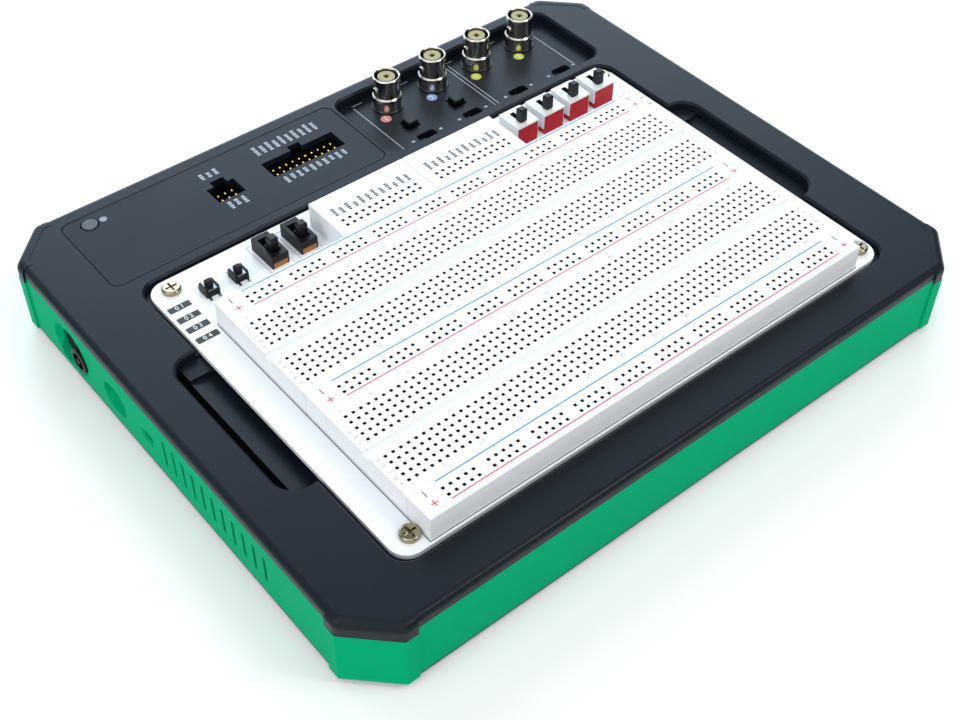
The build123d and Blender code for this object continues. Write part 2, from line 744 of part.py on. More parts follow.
def square_loop(x, y, width, depth):
    """Closed square or oblong wire around a point."""
    a, b = width / 2, depth / 2
    return Wire.make_polygon([(x - a, y - b), (x + a, y - b), (x + a, y + b), (x - a, y + b)], close=True)


def holed_plate(z, height, middle, width, depth, holes, hole_width, hole_depth):
    """Plate with a pattern of square holes through it."""
    outer = square_loop(middle[0], middle[1], width, depth)
    loops = [square_loop(x, y, hole_width, hole_depth) for x, y in holes]
    face = Plane.XY.offset(z) * Face(outer, loops)
    return Solid.extrude(face, Vector(0, 0, height))


strip_columns_x = [(column - (strip_columns - 1) / 2) * pitch for column in range(strip_columns)]
rail_columns_x = [(column - 29) * pitch for column in range(59) if column % 6 != 5]
row_middle = 3.5 * pitch
clip_length = 4 * pitch + 1.9
clip_slot = 1.9

for number, y in enumerate(strip_y, start=1):
    half_width = (strip_width - ravine_width) / 2
    with BuildPart() as terminal_strip:
        slots = [(x, y + way * row_middle) for x in strip_columns_x for way in (-1, 1)]
        add(holed_plate(clip_frame_z, skin_z - clip_frame_z, (0, y), breadboard_length,
                        strip_width, slots, clip_slot, clip_length + 0.4))
    skins = []
    for way in (-1, 1):
        holes = [(x, y + way * (row + 1.5) * pitch) for x in strip_columns_x for row in range(5)]
        middle = (0, y + way * (ravine_width + half_width) / 2)
        skins.append(holed_plate(skin_z, skin_thickness, middle, breadboard_length, half_width,
                                 holes, hole_size, hole_size))
    strip_solids = Compound(children=[terminal_strip.part.solid()] + skins)
    save(strip_solids, f"terminal_strip_{number}")

for number, y in enumerate(rail_y, start=1):
    slots = [((group * 6 + 2 - 29) * pitch, y + way * pitch / 2) for group in range(10) for way in (-1, 1)]
    frame = holed_plate(clip_frame_z, skin_z - clip_frame_z, (0, y), breadboard_length, rail_width,
                        slots, clip_length + 0.4, clip_slot)
    holes = [(x, y + way * pitch / 2) for x in rail_columns_x for way in (-1, 1)]
    skin = holed_plate(skin_z, skin_thickness, (0, y), breadboard_length, rail_width, holes,
                       hole_size, hole_size)
    save(Compound(children=[frame, skin]), f"power_rail_{number}")

clip_height = skin_z - clip_frame_z - 0.6
with BuildPart() as spring_clips:
    with BuildSketch(Plane.XY.offset(clip_frame_z + 0.2)):
        for y in strip_y:
            with Locations((0, y)):
                with GridLocations(pitch, 2 * row_middle, strip_columns, 2):
                    Rectangle(1.5, clip_length)
        for y in rail_y:
            with Locations((0, y)):
                with GridLocations(6 * pitch, pitch, 10, 2):
                    Rectangle(clip_length, 1.5)
    extrude(amount=clip_height)
save(spring_clips.part, "spring_clips")

# White socket blocks that bring the instrument signals to the breadboards
for number, (edges, first) in enumerate(zip(header_x, header_first), start=1):
    x0, x1 = edges
    middle = ((x0 + x1) / 2, (header_y0 + header_y1) / 2)
    holes = [(first + column * pitch, y) for column in range(header_columns) for y in header_rows]
    block = holed_plate(canvas_top, breadboard_top - canvas_top, middle, x1 - x0,
                        header_y1 - header_y0, holes, hole_size, hole_size)
    save(Compound(children=[block]), f"signal_block_{number}")

# Four red slide switches with a white steel cover and a black lever on a narrow neck
red_lever = (2.7, 2.4)
red_neck = (1.5, 2.0)
red_lever_x = -0.6
red_lever_rise = 5.0
red_throw = 4.0
red_slot = (red_neck[0] + 0.4, red_throw + red_neck[1] + 0.4)
red_slot_depth = 3.6
red_plate = 0.6
red_skirt = 0.45
red_skirt_drop = 5.0
red_lever_points = [(x + red_lever_x, red_y) for x in red_x]
with BuildPart() as red_switch_bodies:
    with BuildSketch(Plane.XY.offset(canvas_top)):
        with Locations([(x, red_y) for x in red_x]):
            Rectangle(red_size[0] - 2 * red_skirt, red_size[1])
    extrude(amount=red_top - red_plate - canvas_top)
    with BuildSketch(Plane.XY.offset(red_top - red_plate)):
        with Locations(red_lever_points):
            Rectangle(*red_slot)
    extrude(amount=-red_slot_depth, mode=Mode.SUBTRACT)
save(red_switch_bodies.part, "red_switch_bodies")

with BuildPart() as red_switch_covers:
    with BuildSketch(Plane.XY.offset(red_top - red_plate)):
        with Locations([(x, red_y) for x in red_x]):
            Rectangle(*red_size)
        with Locations(red_lever_points):
            Rectangle(*red_slot, mode=Mode.SUBTRACT)
    extrude(amount=red_plate)
    with BuildSketch(Plane.XY.offset(red_top - red_plate)):
        for way in (-1, 1):
            with Locations([(x + way * (red_size[0] - red_skirt) / 2, red_y) for x in red_x]):
                Rectangle(red_skirt, red_size[1] - 0.6)
    extrude(amount=-red_skirt_drop)
save(red_switch_covers.part, "red_switch_covers")

for number, point in enumerate(red_lever_points, start=1):
    rest = (point[0], point[1] - red_throw / 2)
    with BuildPart() as red_switch_lever:
        with BuildSketch(Plane.XY.offset(red_top + fit_gap)):
            with Locations(rest):
                Rectangle(*red_lever)
        extrude(amount=red_lever_rise - fit_gap)
        fillet(red_switch_lever.edges().group_by(Axis.Z)[-1], 0.4)
        with BuildSketch(Plane.XY.offset(red_top + fit_gap)):
            with Locations(rest):
                Rectangle(*red_neck)
        extrude(amount=-(red_plate + fit_gap + red_slot_depth - 0.4))
    save(red_switch_lever.part, f"red_switch_lever_{number}")

# Two small slide switches with an amber base between the sides of a black frame
slide_base_top = canvas_top + 2.0
slide_side = 0.5
slide_lever = 3.4
slide_stem = (2.8, 2.7)
slide_stem_rise = 3.8
slide_points = [(x, slide_y) for x in slide_x]
with BuildPart() as slide_switch_bases:
    with BuildSketch(Plane.XY.offset(canvas_top)):
        with Locations(slide_points):
            Rectangle(slide_size[0] - 2 * slide_side, slide_size[1])
    extrude(amount=slide_base_top - canvas_top)
save(slide_switch_bases.part, "slide_switch_bases")

with BuildPart() as slide_switch_frames:
    with BuildSketch(Plane.XY.offset(canvas_top)):
        for way in (-1, 1):
            with Locations([(x + way * (slide_size[0] - slide_side) / 2, slide_y) for x in slide_x]):
                Rectangle(slide_side, slide_size[1])
    extrude(amount=slide_top - canvas_top)
    with BuildSketch(Plane.XY.offset(slide_base_top)):
        with Locations(slide_points):
            Rectangle(*slide_size)
            Rectangle(slide_lever + 0.5, slide_throw + slide_lever + 0.5, mode=Mode.SUBTRACT)
    extrude(amount=slide_top - slide_base_top)
save(slide_switch_frames.part, "slide_switch_frames")

for number, x in enumerate(slide_x, start=1):
    rest = (x, slide_y - slide_throw / 2)
    with BuildPart() as slide_switch_lever:
        with BuildSketch(Plane.XY.offset(slide_base_top + 0.2)):
            with Locations(rest):
                Rectangle(slide_lever, slide_lever)
        extrude(amount=slide_top - slide_base_top + 0.6)
        with BuildSketch(Plane.XY.offset(slide_top + 0.8)):
            with Locations(rest):
                Rectangle(*slide_stem)
        extrude(amount=slide_stem_rise)
        fillet(slide_switch_lever.edges().group_by(Axis.Z)[-1], 0.4)
    save(slide_switch_lever.part, f"slide_switch_lever_{number}")

# Two push buttons: black base with two side rails, bright top plate with bent legs, black stem
tact_rail = 0.7
tact_rail_rise = 0.6
tact_plate = 0.3
tact_hole = 2.3
tact_stem = 2.0
tact_stem_rise = 1.9
tact_leg = 0.7
tact_leg_reach = 1.6
tact_plate_z = tact_top - tact_plate
tact_points = [(x, tact_y) for x in tact_x]
with BuildPart() as tact_bases:
    with BuildSketch(Plane.XY.offset(canvas_top)):
        with Locations(tact_points):
            Rectangle(tact_size, tact_size)
    extrude(amount=tact_plate_z - canvas_top)
    with BuildSketch(Plane.XY.offset(tact_plate_z)):
        for way in (-1, 1):
            with Locations([(x + way * (tact_size - tact_rail) / 2, tact_y) for x in tact_x]):
                Rectangle(tact_rail, tact_size - 0.4)
    extrude(amount=tact_rail_rise)
    with BuildSketch(Plane.XY.offset(tact_plate_z)):
        with Locations(tact_points):
            Rectangle(tact_hole, tact_hole)
    extrude(amount=-1.4, mode=Mode.SUBTRACT)
save(tact_bases.part, "tact_bases")

with BuildPart() as tact_plates:
    with BuildSketch(Plane.XY.offset(tact_plate_z)):
        with Locations(tact_points):
            Rectangle(tact_size - 2 * tact_rail - 0.1, tact_size)
            Rectangle(tact_hole, tact_hole, mode=Mode.SUBTRACT)
    extrude(amount=tact_plate)
    with BuildSketch(Plane.XY.offset(canvas_top)):
        for way in (-1, 1):
            leg_y = tact_y + way * (tact_size + tact_leg_reach) / 2
            with Locations([(x, leg_y) for x in tact_x]):
                with GridLocations(tact_size - 1.4, 1, 2, 1):
                    Rectangle(tact_leg, tact_leg_reach)
    extrude(amount=0.5)
save(tact_plates.part, "tact_plates")

for number, point in enumerate(tact_points, start=1):
    with BuildPart() as tact_plunger:
        with BuildSketch(Plane.XY.offset(tact_plate_z - 1.0)):
            with Locations(point):
                Rectangle(tact_stem, tact_stem)
        extrude(amount=1.0 + tact_plate + tact_stem_rise)
        fillet(tact_plunger.edges().group_by(Axis.Z)[-1], 0.3)
    save(tact_plunger.part, f"tact_plunger_{number}")
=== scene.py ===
import json
import math

import bmesh
import bpy
from mathutils import Matrix, Vector


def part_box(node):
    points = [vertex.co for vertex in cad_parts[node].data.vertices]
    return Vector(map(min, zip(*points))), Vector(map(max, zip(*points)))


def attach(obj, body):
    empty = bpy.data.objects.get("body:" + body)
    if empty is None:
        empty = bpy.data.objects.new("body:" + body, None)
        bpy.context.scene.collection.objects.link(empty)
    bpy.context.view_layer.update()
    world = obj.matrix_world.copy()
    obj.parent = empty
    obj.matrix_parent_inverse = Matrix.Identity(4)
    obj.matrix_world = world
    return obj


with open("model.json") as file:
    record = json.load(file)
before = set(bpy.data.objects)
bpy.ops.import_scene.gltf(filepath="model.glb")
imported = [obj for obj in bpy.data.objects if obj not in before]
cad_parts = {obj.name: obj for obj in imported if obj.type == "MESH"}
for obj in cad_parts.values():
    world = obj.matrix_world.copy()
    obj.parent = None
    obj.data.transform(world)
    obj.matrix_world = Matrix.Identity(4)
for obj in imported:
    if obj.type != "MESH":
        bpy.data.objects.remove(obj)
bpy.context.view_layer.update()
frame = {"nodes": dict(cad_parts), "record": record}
nodes = frame["nodes"]
MM = 0.001

# Camera of the photograph
LENS = 53.96
CAMERA_PLACE = (-0.21571, -0.25599, 0.32412)
CAMERA_TURN = (43.8656, -0.5386, -39.3691)

camera = bpy.data.objects.new("camera", bpy.data.cameras.new("camera"))
bpy.context.scene.collection.objects.link(camera)
bpy.context.scene.camera = camera
camera.data.sensor_width = 36.0
camera.data.lens = LENS
camera.data.clip_start = 0.01
camera.location = CAMERA_PLACE
camera.rotation_euler = [math.radians(a) for a in CAMERA_TURN]
bpy.context.scene.view_settings.view_transform = "Standard"

# Materials: every one is a small node tree with its own grain, mottling and gloss variation
FINE_SHARE = 0.45
BROAD_SHARE = 0.55
DARK_END = 0.3
LIGHT_END = 0.72
GLOSS_RANGE = (0.3, 0.7)
LEAST_ROUGH = 0.02
RELIEF = 0.0002
FINE_NOISE = (4.0, 0.6)
BROAD_NOISE = (3.0, 0.5)


def tone(text):
    """Linear colour from a written one such as 4b535f."""
    parts = [int(text[i:i + 2], 16) / 255 for i in (0, 2, 4)]
    return [p / 12.92 if p <= 0.04045 else ((p + 0.055) / 1.055) ** 2.4 for p in parts] + [1.0]


def noise(tree, coordinates, scale, detail, roughness, stretch):
    """Noise texture in the object's own coordinates."""
    place = tree.nodes.new("ShaderNodeMapping")
    place.inputs["Scale"].default_value = stretch
    tree.links.new(coordinates.outputs["Object"], place.inputs["Vector"])
    texture = tree.nodes.new("ShaderNodeTexNoise")
    texture.inputs["Scale"].default_value = scale
    texture.inputs["Detail"].default_value = detail
    texture.inputs["Roughness"].default_value = roughness
    tree.links.new(place.outputs["Vector"], texture.inputs["Vector"])
    return texture


def surface(name, color, rough, metal=0.0, mottle=0.08, grain=1500.0, bump=0.08, swing=0.06,
            cloud=45.0, stretch=(1, 1, 1), **sockets):
    """A mottled, finely grained surface whose roughness swings a little in soft clouds."""
    material = bpy.data.materials.new(name)
    material.use_nodes = True
    tree = material.node_tree
    shader = tree.nodes["Principled BSDF"]
    coordinates = tree.nodes.new("ShaderNodeTexCoord")
    fine = noise(tree, coordinates, grain, *FINE_NOISE, stretch)
    broad = noise(tree, coordinates, cloud, *BROAD_NOISE, stretch)
    # colour: a mix of both noises picks a tone between a darker and a lighter one
    base = tone(color)[:3]
    ramp = tree.nodes.new("ShaderNodeValToRGB")
    dark, light = ramp.color_ramp.elements
    dark.position = DARK_END
    light.position = LIGHT_END
    dark.color = [c * (1 - mottle) for c in base] + [1]
    light.color = [min(1.0, c * (1 + mottle)) for c in base] + [1]
    blend = tree.nodes.new("ShaderNodeMath")
    blend.operation = "MULTIPLY_ADD"
    blend.inputs[1].default_value = FINE_SHARE
    tree.links.new(fine.outputs["Fac"], blend.inputs[0])
    part = tree.nodes.new("ShaderNodeMath")
    part.operation = "MULTIPLY"
    part.inputs[1].default_value = BROAD_SHARE
    tree.links.new(broad.outputs["Fac"], part.inputs[0])
    tree.links.new(part.outputs[0], blend.inputs[2])
    tree.links.new(blend.outputs[0], ramp.inputs["Fac"])
    tree.links.new(ramp.outputs["Color"], shader.inputs["Base Color"])
    # gloss
    gloss = tree.nodes.new("ShaderNodeMapRange")
    gloss.inputs["From Min"].default_value = GLOSS_RANGE[0]
    gloss.inputs["From Max"].default_value = GLOSS_RANGE[1]
    gloss.inputs["To Min"].default_value = max(LEAST_ROUGH, rough - swing)
    gloss.inputs["To Max"].default_value = min(1.0, rough + swing)
    tree.links.new(broad.outputs["Fac"], gloss.inputs["Value"])
    tree.links.new(gloss.outputs["Result"], shader.inputs["Roughness"])
    # fine grain
    relief = tree.nodes.new("ShaderNodeBump")
    relief.inputs["Strength"].default_value = bump
    relief.inputs["Distance"].default_value = RELIEF
    tree.links.new(fine.outputs["Fac"], relief.inputs["Height"])
    tree.links.new(relief.outputs["Normal"], shader.inputs["Normal"])
    shader.inputs["Metallic"].default_value = metal
    for socket, value in sockets.items():
        shader.inputs[socket.replace("_", " ")].default_value = value
    return material


finishes = {
    # case
    "tray_black": dict(color="121416", rough=0.5, grain=1800, bump=0.15),
    "band_green": dict(color="00a672", rough=0.5, mottle=0.04, grain=2200, bump=0.06, cloud=25,
                       Specular_IOR_Level=0.012),
    "cover_slate": dict(color="151c25", rough=0.36, grain=2400, bump=0.14, cloud=22, swing=0.04,
                        Specular_IOR_Level=0.16),
    "panel_film": dict(color="171f28", rough=0.42, mottle=0.06, grain=3000, bump=0.1, swing=0.04,
                       Specular_IOR_Level=0.16),
    "foot_rubber": dict(color="1b1b1c", rough=0.8, grain=900, bump=0.3),
    "screw_steel": dict(color="a59a82", rough=0.12, metal=1.0, grain=1200),
    "button_dark": dict(color="3c444d", rough=0.42, grain=1800, bump=0.12),
    "lens_clear": dict(color="59636c", rough=0.2, grain=1200, Coat_Weight=0.6),
    # boards and what stands on them
    "board_dark": dict(color="14332b", rough=0.35, mottle=0.2, grain=700, bump=0.1),
    "board_white": dict(color="f0f4f8", rough=0.3, mottle=0.02, grain=1600, bump=0.04, cloud=30,
                        Specular_IOR_Level=0.3),
    "chip_black": dict(color="17181a", rough=0.55, grain=1500, bump=0.2),
    "sink_aluminium": dict(color="a9adb0", rough=0.35, metal=1.0, grain=800, stretch=(1, 12, 1)),
    "capacitor_sleeve": dict(color="1d2f57", rough=0.3, grain=900),
    "stud_nylon": dict(color="d6d2c4", rough=0.5, grain=1300),
    # sockets and headers
    "housing_black": dict(color="08090a", rough=0.45, grain=1600, bump=0.12, Specular_IOR_Level=0.25),
    "socket_base": dict(color="0c0e11", rough=0.4, grain=1500, bump=0.12),
    "socket_shell": dict(color="8f9294", rough=0.3, metal=1.0, grain=1300),
    "nickel": dict(color="d8d3c8", rough=0.13, metal=1.0, mottle=0.05, grain=900, bump=0.05, cloud=120),
    "insulator_cream": dict(color="a39d74", rough=0.5, grain=1200),
    "contact_gold": dict(color="b08d3e", rough=0.25, metal=1.0, grain=1200),
    # breadboards
    "foam_tape": dict(color="d8d8d2", rough=0.9, grain=700, bump=0.4),
    "breadboard_white": dict(color="f3f6f9", rough=0.45, mottle=0.015, grain=2000, bump=0.04,
                             cloud=30, Specular_IOR_Level=0.3),
    # spring_metal is given a very dark tone: painted shade, so that the contact holes read dark
    "spring_metal": dict(color="101113", rough=0.6, metal=0.3, grain=900),
    # switches and push caps
    "cap_black": dict(color="07080a", rough=0.4, grain=1500, bump=0.12, Specular_IOR_Level=0.2),
    "lever_black": dict(color="060607", rough=0.36, grain=1400, bump=0.12, Specular_IOR_Level=0.3),
    "switch_red": dict(color="b3061d", rough=0.3, mottle=0.06, grain=1200, bump=0.03,
                       Specular_IOR_Level=0.25),
    "switch_white": dict(color="e6e8ea", rough=0.26, mottle=0.03, grain=1500, bump=0.05),
    "amber_base": dict(color="a8641f", rough=0.35, mottle=0.2, grain=500, stretch=(1, 4, 1)),
    "bright_plate": dict(color="8b8e92", rough=0.2, metal=1.0, grain=1500),
}
inks = {
    "grey": ("a9b4be", 0.5),
    "pale": ("f4f6f7", 0.5),
    "dark": ("14171b", 0.45),
    "mid": ("6c747c", 0.5),
    "soft": ("a3aab0", 0.5),
    "blue": ("4f8fcc", 0.45),
    "red": ("e0405a", 0.45),
    "orange": ("d98f86", 0.5),
    "sky": ("8fa5dd", 0.5),
    "lime": ("c5cf5a", 0.5),
}
looks = {name: surface(name, **values) for name, values in finishes.items()}
ink = {name: surface(f"ink_{name}", color, rough, grain=2500) for name, (color, rough) in inks.items()}

for row in frame["record"]["subparts"]:
    mesh = nodes[row["node"]].data
    mesh.materials.clear()
    mesh.materials.append(looks[row["material_slot"]])

# Rounded edges of the solids that show: width of the rounding by node, in millimetres
EDGE_WIDTHS = {
    "top_cover": 0.25,
    "side_band": 0.3,
    "canvas_board": 0.12,
    "grip_slabs": 0.6,
    "power_jack": 0.25,
}
NUMBERED_EDGE_WIDTHS = (("power_rail", 3, 0.18), ("signal_block", 2, 0.3), ("coaxial_barrel", 4, 0.12),
                        ("push_cap", 2, 0.3))
JOIN_REACH = 0.002
FLAT_ANGLE = 0.6
ROUNDED_ANGLE = 32


def round_edges(node, width):
    """Join the split corners of a node's mesh, clear its flat faces and round its sharp edges."""
    made = nodes[node]
    join = made.modifiers.new("join", "WELD")
    join.merge_threshold = JOIN_REACH * MM
    flat = made.modifiers.new("flat", "DECIMATE")
    flat.decimate_type = "DISSOLVE"
    flat.angle_limit = math.radians(FLAT_ANGLE)
    edge = made.modifiers.new("edges", "BEVEL")
    edge.width = width * MM
    edge.segments = 2
    edge.limit_method = "ANGLE"
    edge.angle_limit = math.radians(ROUNDED_ANGLE)
    edge.use_clamp_overlap = True
    smooth = made.modifiers.new("shading", "WEIGHTED_NORMAL")
    smooth.keep_sharp = True


for group, count, width in NUMBERED_EDGE_WIDTHS:
    for number in range(1, count + 1):
        EDGE_WIDTHS[f"{group}_{number}"] = width
for node, width in EDGE_WIDTHS.items():
    round_edges(node, width)

# Helpers for pieces. They work in millimetres; PRINT_SUNK and PRINT_LAYER are how far a print
# reaches below and above the face that carries it
SHARP_ANGLE = 35.0
LOOSE_EDGE = 4.0
SAME_POINT = 1e-5
LEAST_RADIUS = 0.05
PRINT_SUNK = 0.02
PRINT_LAYER = 0.03
LETTER_HALF_DEPTH = 0.02
DASH_HALF_SHARES = (0.5, 0.38, 0.5, 0.44)
DASH_LENGTH_SHARE = 0.72


def piece(name, bm, material, body):
    """Turn a bmesh in millimetres into a piece that rides on a body."""
    bmesh.ops.remove_doubles(bm, verts=bm.verts, dist=SAME_POINT)
    bmesh.ops.scale(bm, vec=(MM, MM, MM), verts=bm.verts)
    bmesh.ops.recalc_face_normals(bm, faces=bm.faces)
    for face in bm.faces:
        face.smooth = True
    for edge in bm.edges:
        angle = edge.calc_face_angle(LOOSE_EDGE)
        edge.smooth = len(edge.link_faces) == 2 and angle < math.radians(SHARP_ANGLE)
    mesh = bpy.data.meshes.new(name)
    bm.to_mesh(mesh)
    bm.free()
    mesh.materials.append(material)
    made = bpy.data.objects.new(name, mesh)
    bpy.context.scene.collection.objects.link(made)
    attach(made, body)


def prism(bm, outline, z0, z1):
    """Upright prism over a closed outline of points."""
    low = [bm.verts.new((x, y, z0)) for x, y in outline]
    high = [bm.verts.new((x, y, z1)) for x, y in outline]
    bm.faces.new(low[::-1])
    bm.faces.new(high)
    count = len(outline)
    for i in range(count):
        j = (i + 1) % count
        bm.faces.new((low[i], low[j], high[j], high[i]))


def bar(bm, x0, x1, y0, y1, z0, z1):
    """Upright bar between two corners."""
    prism(bm, [(x0, y0), (x1, y0), (x1, y1), (x0, y1)], z0, z1)


def mark(bm, x0, x1, y0, y1, face):
    """Thin printed bar on the face at a height."""
    bar(bm, x0, x1, y0, y1, face - PRINT_SUNK, face + PRINT_LAYER)


def circle(x, y, r, count=32):
    """Circle as points."""
    return [(x + r * math.cos(math.tau * i / count), y + r * math.sin(math.tau * i / count))
            for i in range(count)]


def oblong(x, y, half_x, half_y):
    """Rectangle round a centre as points."""
    return [(x - half_x, y - half_y), (x + half_x, y - half_y), (x + half_x, y + half_y),
            (x - half_x, y + half_y)]


def loop_outline(x0, x1, y0, y1, radius, count=6):
    """Rounded rectangle as points."""
    points = []
    for cx, cy, start in ((x1 - radius, y1 - radius, 0), (x0 + radius, y1 - radius, 90),
                          (x0 + radius, y0 + radius, 180), (x1 - radius, y0 + radius, 270)):
        for i in range(count + 1):
            a = math.radians(start + 90 * i / count)
            points.append((cx + radius * math.cos(a), cy + radius * math.sin(a)))
    return points


def band(bm, outer, inner, z0, z1):
    """Ring between two outlines with the same number of points."""
    count = len(outer)
    rings = [[bm.verts.new((x, y, z)) for x, y in points]
             for points, z in ((outer, z0), (outer, z1), (inner, z1), (inner, z0))]
    for a, b in ((0, 1), (1, 2), (2, 3), (3, 0)):
        for i in range(count):
            j = (i + 1) % count
            bm.faces.new((rings[a][i], rings[a][j], rings[b][j], rings[b][i]))


def sleeve(bm, x, y, half_x, half_y, wall, z0, z1):
    """Four upright walls inside a rectangular hole."""
    band(bm, oblong(x, y, half_x, half_y), oblong(x, y, half_x - wall, half_y - wall), z0, z1)


def frame_line(bm, x0, x1, y0, y1, radius, width, face):
    """Thin outline of a rounded rectangle on the face at a height."""
    inner = loop_outline(x0 + width, x1 - width, y0 + width, y1 - width, max(LEAST_RADIUS, radius - width))
    band(bm, loop_outline(x0, x1, y0, y1, radius), inner, face - PRINT_SUNK, face + PRINT_LAYER)


def dashes(bm, x, y0, y1, width, step, face):
    """A column of small printed marks that stands for a word."""
    count = max(1, round((y1 - y0) / step))
    for i in range(count):
        start = y0 + i * (y1 - y0) / count
        half = width * DASH_HALF_SHARES[(i + round(x)) % 4]
        mark(bm, x - half, x + half, start, start + DASH_LENGTH_SHARE * (y1 - y0) / count, face)


def letters(bm, text, x, y, z, size, turn=0.0):
    """Raised plain characters, centred on a point and turned by degrees."""
    curve = bpy.data.curves.new("letters", "FONT")
    curve.body = text
    curve.size = size
    curve.align_x = "CENTER"
    curve.align_y = "CENTER"
    curve.extrude = LETTER_HALF_DEPTH
    curve.resolution_u = 3
    holder = bpy.data.objects.new("letters", curve)
    bpy.context.scene.collection.objects.link(holder)
    mesh = bpy.data.meshes.new_from_object(holder)
    mesh.transform(Matrix.Translation((x, y, z)) @ Matrix.Rotation(math.radians(turn), 4, "Z"))
    bm.from_mesh(mesh)
    bpy.data.objects.remove(holder)
    bpy.data.curves.remove(curve)
    bpy.data.meshes.remove(mesh)


# Places that the model gives, in millimetres
pitch = 2.54
board_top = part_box("canvas_board")[1].z / MM
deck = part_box("terminal_strip_1")[1].z / MM
film_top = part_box("panel_overlay")[1].z / MM
red_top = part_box("red_switch_covers")[1].z / MM
base_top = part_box("slide_switch_bases")[1].z / MM
pocket_floor = 23.3
strip_y = (-4.78, -50.5)
strip_columns = 63
strip_rows = 5
strip_first_row = 1.5
rail_y = (18.08, -27.64, -73.36)
rail_columns = 59
rail_group = 6
block_first = (-32.25, 4.3)
block_columns = 12
block_rows = (29.6, 27.06)
red_switch_x = (44.0, 55.5, 67.0, 78.5)
red_switch_y = 36.5
slide_switch_x = (-54.0, -43.3)
slide_switch_y = 38.2

# Breadboard print: blue and red lines with their signs, column numbers and row letters
line_start, line_end = -74.0, 75.3
blue_line, blue_half = 4.2, 0.22
red_line, red_half = -2.85, 0.2
sign_half = 0.2
minus_x = (-78.6, 79.3)
minus_span = (1.45, 3.75)
plus_x = (-78.3, 79.3)
plus_y, plus_arm = -1.3, 1.1
numbered_columns = [1] + list(range(5, strip_columns - 2, 5))
number_back, number_front, number_size = 16.4, -15.9, 1.9
letter_x, letter_size = 81.2, 2.0

blue, red, signs, numbers = bmesh.new(), bmesh.new(), bmesh.new(), bmesh.new()
for y in rail_y:
    mark(blue, line_start, line_end, y + blue_line - blue_half, y + blue_line + blue_half, deck)
    mark(red, line_start, line_end, y + red_line - red_half, y + red_line + red_half, deck)
    for x in minus_x:
        mark(signs, x - sign_half, x + sign_half, y + minus_span[0], y + minus_span[1], deck)
    centre = y + plus_y
    for x in plus_x:
        mark(red, x - plus_arm, x + plus_arm, centre - sign_half, centre + sign_half, deck)
        mark(red, x - sign_half, x + sign_half, centre + sign_half, centre + plus_arm, deck)
        mark(red, x - sign_half, x + sign_half, centre - plus_arm, centre - sign_half, deck)
for y in strip_y:
    for column in numbered_columns:
        x = (column - (strip_columns + 1) // 2) * pitch
        letters(numbers, str(column), x, y + number_back, deck, number_size)
        letters(numbers, str(column), x, y + number_front, deck, number_size)
    for names, first in (("abcde", -strip_first_row - strip_rows + 1), ("fghij", strip_first_row)):
        for row, letter in enumerate(names):
            for x in (-letter_x, letter_x):
                letters(numbers, letter, x, y + (row + first) * pitch, deck, letter_size, 90)
piece("rail_lines_blue", blue, ink["blue"], "canvas")
piece("rail_lines_red", red, ink["red"], "canvas")
piece("rail_minus_signs", signs, ink["mid"], "canvas")
piece("strip_numbers", numbers, ink["soft"], "canvas")

# Painted shade in the contact holes: dark sleeves just below their rims stand in for the shade inside them
hole_half = 0.515
hole_wall = 0.07
rim_depth = 0.16
sleeve_depth = 1.2
block_sleeve_depth = 2.5


def hole_sleeve(bm, x, y, depth):
    """Dark sleeve of painted shade inside one contact hole."""
    sleeve(bm, x, y, hole_half, hole_half, hole_wall, deck - depth, deck - rim_depth)


shade_sleeves = bmesh.new()
for y in strip_y:
    for column in range(strip_columns):
        for row in range(strip_rows):
            for way in (-1, 1):
                hole_sleeve(shade_sleeves, (column - strip_columns // 2) * pitch,
                            y + way * (row + strip_first_row) * pitch, sleeve_depth)
for y in rail_y:
    for column in range(rail_columns):
        if column % rail_group != rail_group - 1:
            for way in (-1, 1):
                hole_sleeve(shade_sleeves, (column - rail_columns // 2) * pitch, y + way * pitch / 2,
                            sleeve_depth)
for first in block_first:
    for column in range(block_columns):
        for y in block_rows:
            hole_sleeve(shade_sleeves, first + column * pitch, y, block_sleeve_depth)
piece("hole_shade_sleeves", shade_sleeves, looks["spring_metal"], "canvas")

# Painted shade in the slots of the red switches and of the slide switches: dark liners and floors stand in
# for the shade inside them
red_slot_half = (0.93, 3.18)
red_slot_wall = 0.08
red_slot_low, red_slot_high = 4.1, 0.1
red_slot_floor = 0.08
slide_slot_half = (1.9, 3.8)
slide_slot_low, slide_slot_high = 0.02, 0.1

slot_shades = bmesh.new()
for x in red_switch_x:
    sleeve(slot_shades, x, red_switch_y, *red_slot_half, red_slot_wall, red_top - red_slot_low,
           red_top - red_slot_high)
    half_x, half_y = (half - red_slot_wall for half in red_slot_half)
    bar(slot_shades, x - half_x, x + half_x, red_switch_y - half_y, red_switch_y + half_y,
        red_top - red_slot_low - red_slot_floor, red_top - red_slot_low + red_slot_floor)
for x in slide_switch_x:
    half_x, half_y = slide_slot_half
    bar(slot_shades, x - half_x, x + half_x, slide_switch_y - half_y, slide_switch_y + half_y,
        base_top - slide_slot_low, base_top + slide_slot_high)
piece("switch_slot_painted_shade", slot_shades, looks["lever_black"], "canvas")

# Marks on the white board: a thin dark line round the foot of the breadboards, lines round the slide
# switches, printed marks, label boxes
field_box = (-83.0, 83.0, -78.7, 23.2)
field_radius, field_width = 0.4, 0.35
switch_frame_half, switch_frame_y = 4.2, (30.6, 45.8)
switch_frame_radius, switch_frame_width = 0.3, 0.12
box_x = (-91.4, -84.0)
box_tops = (37.3, 32.0, 26.9, 21.6)
box_height, box_radius, box_corner_count = 2.5, 0.3, 2
box_number_x, box_number_size = -87.7, 2.3
short_mark_x, short_mark_length, short_mark_y = (86.1, 88.2, 90.3), 1.2, (31.0, 31.4)
side_mark_x, side_mark_y, side_mark_half = (91.0, 93.0), (26.0, 21.9), 0.2

